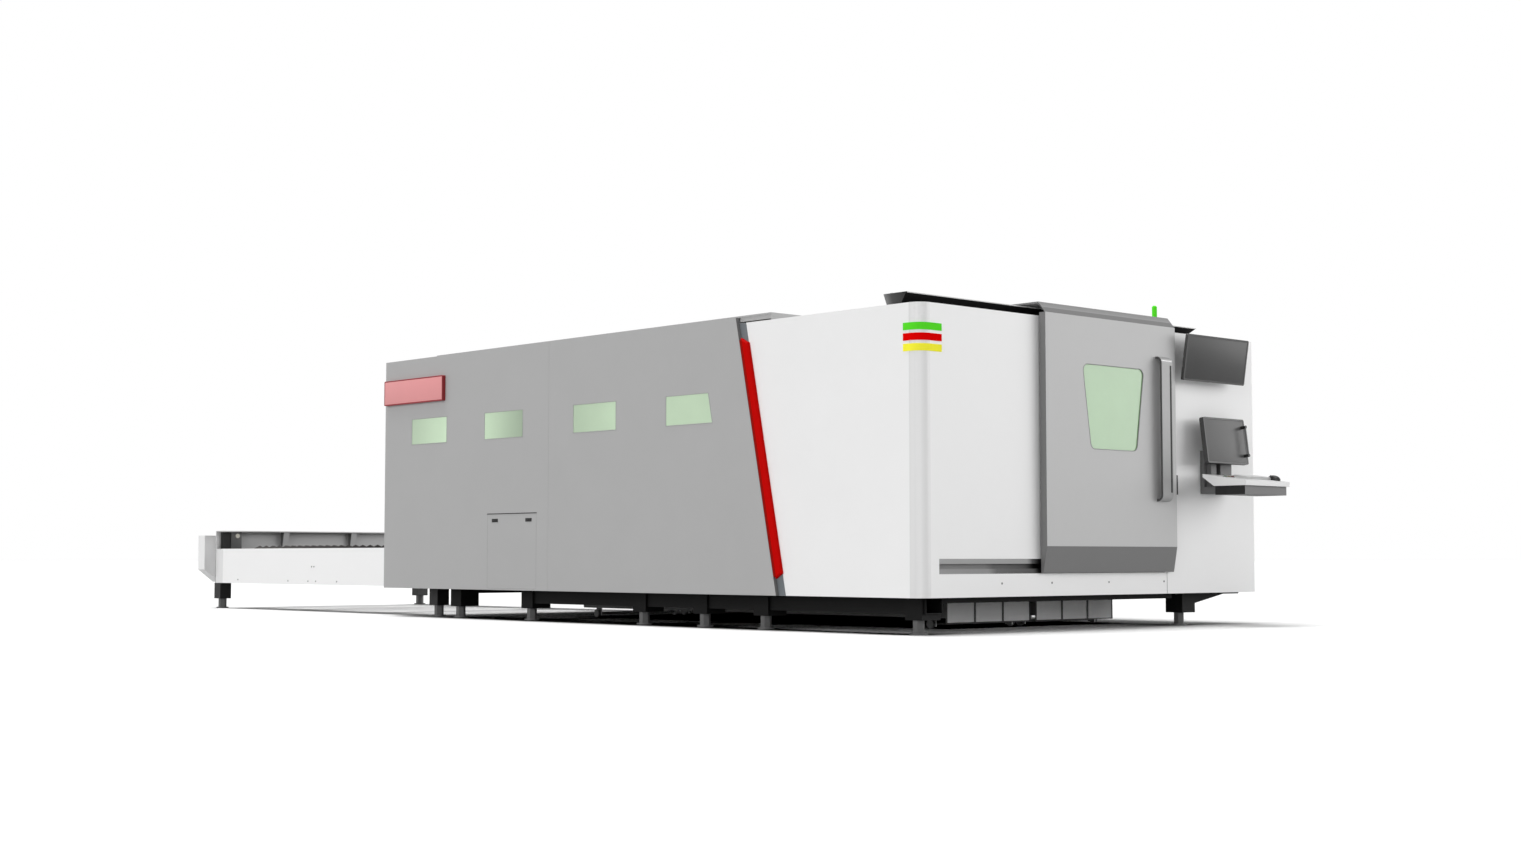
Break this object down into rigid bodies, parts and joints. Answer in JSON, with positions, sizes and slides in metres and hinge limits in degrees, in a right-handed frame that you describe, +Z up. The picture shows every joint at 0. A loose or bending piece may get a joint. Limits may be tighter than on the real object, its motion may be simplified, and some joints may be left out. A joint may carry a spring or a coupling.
{
  "type": "laser cutting machine",
  "caption": "Enclosed sheet laser cutting machine with a sliding front door, a gantry and cutting head, a two-level pallet exchange table, scrap carts and an operator console.",
  "frame": {"origin": "on the floor under the middle of the machine's box, cabin and exchange table together", "axes": "+X out of the operator's front, away from the exchange table; +Y from the near side to the far side; +Z up"},
  "size_m": [9.635, 3.58, 2.21],
  "materials": {
    "grey_paint": "satin",
    "white_paint": "satin",
    "door_paint": "satin",
    "red_paint": "satin",
    "sign_plastic": "satin",
    "side_glass": "gloss",
    "light_plastic": "gloss",
    "green_plastic": "gloss",
    "yellow_plastic": "gloss",
    "red_plastic": "gloss",
    "black_paint": "satin",
    "cart_paint": "satin",
    "steel": "satin",
    "cart_wheel_steel": "satin",
    "aluminium": "satin",
    "drive_black": "satin",
    "brass": "satin",
    "screen_plastic": "gloss",
    "console_paint": "satin",
    "key_plastic": "matte"
  },
  "bodies": {
    "machine": {"beacon": "green_plastic", "bed_frame": "black_paint", "door_rail_cover": "black_paint", "door_tracks": "steel", "enclosure_posts": "black_paint", "equipment_cabinets": "cart_paint", "far_panels": "grey_paint", "front_right_panel": "white_paint", "front_shell": "white_paint", "gantry_rails": "steel", "keyboard": "key_plastic", "keyboard_tray": "console_paint", "levelling_feet": "steel", "near_panel_middle": "grey_paint", "near_panel_rear": "grey_paint", "near_windows": "side_glass", "pallet_tracks": "black_paint", "rear_wall": "grey_paint", "roof_front": "white_paint", "roof_lid": "grey_paint", "sign_box": "sign_plastic", "slant_trim": "red_paint", "status_bars": "light_plastic", "table_end_guard": "white_paint", "table_frame": "black_paint", "table_side_panels": "white_paint", "wall_brackets": "console_paint"},
    "sliding_door": {"door_shell": "door_paint", "door_window": "side_glass", "door_handle": "steel", "door_guides": "black_paint"},
    "service_hatch": {"hatch": "grey_paint", "hatch_latches": "black_paint"},
    "gate": {"rear_gate": "cart_paint"},
    "gantry": {"gantry_beam": "aluminium", "gantry_drives": "drive_black"},
    "carriage": {"head_carriage": "aluminium"},
    "head": {"z_slide": "aluminium", "cutting_head": "steel", "nozzle": "brass"},
    "upper_pallet": {"upper_pallet_frame": "cart_paint", "upper_pallet_slats": "steel"},
    "upper_front_wheels": {"upper_front_wheelset": "steel"},
    "upper_rear_wheels": {"upper_rear_wheelset": "steel"},
    "lower_pallet": {"lower_pallet_frame": "cart_paint", "lower_pallet_slats": "steel"},
    "lower_front_wheels": {"lower_front_wheelset": "steel"},
    "lower_rear_wheels": {"lower_rear_wheelset": "steel"},
    "near_cart": {"scrap_cart_near": "cart_paint"},
    "near_cart_front_wheels": {"scrap_cart_near_front_wheels": "cart_wheel_steel"},
    "near_cart_rear_wheels": {"scrap_cart_near_rear_wheels": "cart_wheel_steel"},
    "far_cart": {"scrap_cart_far": "cart_paint"},
    "far_cart_front_wheels": {"scrap_cart_far_front_wheels": "cart_wheel_steel"},
    "far_cart_rear_wheels": {"scrap_cart_far_rear_wheels": "cart_wheel_steel"},
    "upper_monitor": {"monitor": "screen_plastic"},
    "console_screen": {"operator_screen": "screen_plastic", "screen_grip": "steel"},
    "start": {"start_button": "green_plastic"},
    "pause": {"pause_button": "yellow_plastic"},
    "stop": {"stop_button": "red_plastic"}
  },
  "joints": [
    {"name": "door_slide", "type": "slide", "parent": "machine", "child": "sliding_door", "axis": [0, -1, 0], "range_m": [0, 0.93]},
    {"name": "hatch_swing", "type": "hinge", "parent": "machine", "child": "service_hatch", "pos_m": [0.2505, -1.76, 0.2378], "axis": [1, 0, 0], "range_deg": [0, 90]},
    {"name": "gate_lift", "type": "slide", "parent": "machine", "child": "gate", "axis": [0, 0, 1], "range_m": [0, 0.48]},
    {"name": "gantry_travel", "type": "slide", "parent": "machine", "child": "gantry", "axis": [1, 0, 0], "range_m": [-0.5, 3.6]},
    {"name": "head_travel", "type": "slide", "parent": "gantry", "child": "carriage", "axis": [0, 1, 0], "range_m": [-0.1, 1.65]},
    {"name": "head_height", "type": "slide", "parent": "carriage", "child": "head", "axis": [0, 0, 1], "range_m": [-0.21, 0]},
    {"name": "pallet_exchange", "type": "slide", "parent": "machine", "child": "upper_pallet", "axis": [1, 0, 0], "range_m": [0, 3.9]},
    {"name": "lower_exchange", "type": "slide", "parent": "machine", "child": "lower_pallet", "axis": [1, 0, 0], "range_m": [-3.9, 0]},
    {"name": "upper_front_roll", "type": "hinge", "parent": "upper_pallet", "child": "upper_front_wheels", "pos_m": [-1.7825, -0.4, 0.4774], "axis": [0, 1, 0], "range_deg": [0, 5322]},
    {"name": "upper_rear_roll", "type": "hinge", "parent": "upper_pallet", "child": "upper_rear_wheels", "pos_m": [-4.3025, -0.4, 0.4774], "axis": [0, 1, 0], "range_deg": [0, 5322]},
    {"name": "lower_front_roll", "type": "hinge", "parent": "lower_pallet", "child": "lower_front_wheels", "pos_m": [2.1175, -0.4, 0.3274], "axis": [0, 1, 0], "range_deg": [-5322, 0]},
    {"name": "lower_rear_roll", "type": "hinge", "parent": "lower_pallet", "child": "lower_rear_wheels", "pos_m": [-0.4025, -0.4, 0.3274], "axis": [0, 1, 0], "range_deg": [-5322, 0]},
    {"name": "near_cart_pull", "type": "slide", "parent": "machine", "child": "near_cart", "axis": [1, 0, 0], "range_m": [0, 0.9]},
    {"name": "near_cart_front_roll", "type": "hinge", "parent": "near_cart", "child": "near_cart_front_wheels", "pos_m": [3.4925, -0.2975, 0.0305], "axis": [0, 1, 0], "range_deg": [0, 1720]},
    {"name": "near_cart_rear_roll", "type": "hinge", "parent": "near_cart", "child": "near_cart_rear_wheels", "pos_m": [-0.0675, -0.2975, 0.0305], "axis": [0, 1, 0], "range_deg": [0, 1720]},
    {"name": "far_cart_pull", "type": "slide", "parent": "machine", "child": "far_cart", "axis": [1, 0, 0], "range_m": [0, 0.9]},
    {"name": "far_cart_front_roll", "type": "hinge", "parent": "far_cart", "child": "far_cart_front_wheels", "pos_m": [3.4925, 0.6075, 0.0305], "axis": [0, 1, 0], "range_deg": [0, 1720]},
    {"name": "far_cart_rear_roll", "type": "hinge", "parent": "far_cart", "child": "far_cart_rear_wheels", "pos_m": [-0.0675, 0.6075, 0.0305], "axis": [0, 1, 0], "range_deg": [0, 1720]},
    {"name": "monitor_tilt", "type": "hinge", "parent": "machine", "child": "upper_monitor", "pos_m": [4.442, 1.135, 1.8265], "axis": [0, 1, 0], "range_deg": [-10, 10]},
    {"name": "screen_tilt", "type": "hinge", "parent": "machine", "child": "console_screen", "pos_m": [4.4585, 1.222, 1.158], "axis": [0, 1, 0], "range_deg": [-10, 10]},
    {"name": "start_press", "type": "slide", "parent": "machine", "child": "start", "axis": [-0.1474, 0, -0.9891], "range_m": [0, 0.004], "stiffness_N_per_m": 500},
    {"name": "pause_press", "type": "slide", "parent": "machine", "child": "pause", "axis": [-0.1474, 0, -0.9891], "range_m": [0, 0.004], "stiffness_N_per_m": 500},
    {"name": "stop_press", "type": "slide", "parent": "machine", "child": "stop", "axis": [-0.1474, 0, -0.9891], "range_m": [0, 0.004], "stiffness_N_per_m": 500}
  ],
  "couplings": [
    {"joint": "lower_exchange", "follows": "pallet_exchange", "ratio": -1},
    {"joint": "upper_front_roll", "follows": "pallet_exchange", "rad_per_m": 23.809},
    {"joint": "upper_rear_roll", "follows": "pallet_exchange", "rad_per_m": 23.809},
    {"joint": "lower_front_roll", "follows": "pallet_exchange", "rad_per_m": -23.809},
    {"joint": "lower_rear_roll", "follows": "pallet_exchange", "rad_per_m": -23.809},
    {"joint": "near_cart_front_roll", "follows": "near_cart_pull", "rad_per_m": 33.333},
    {"joint": "near_cart_rear_roll", "follows": "near_cart_pull", "rad_per_m": 33.333},
    {"joint": "far_cart_front_roll", "follows": "far_cart_pull", "rad_per_m": 33.333},
    {"joint": "far_cart_rear_roll", "follows": "far_cart_pull", "rad_per_m": 33.333}
  ]
}
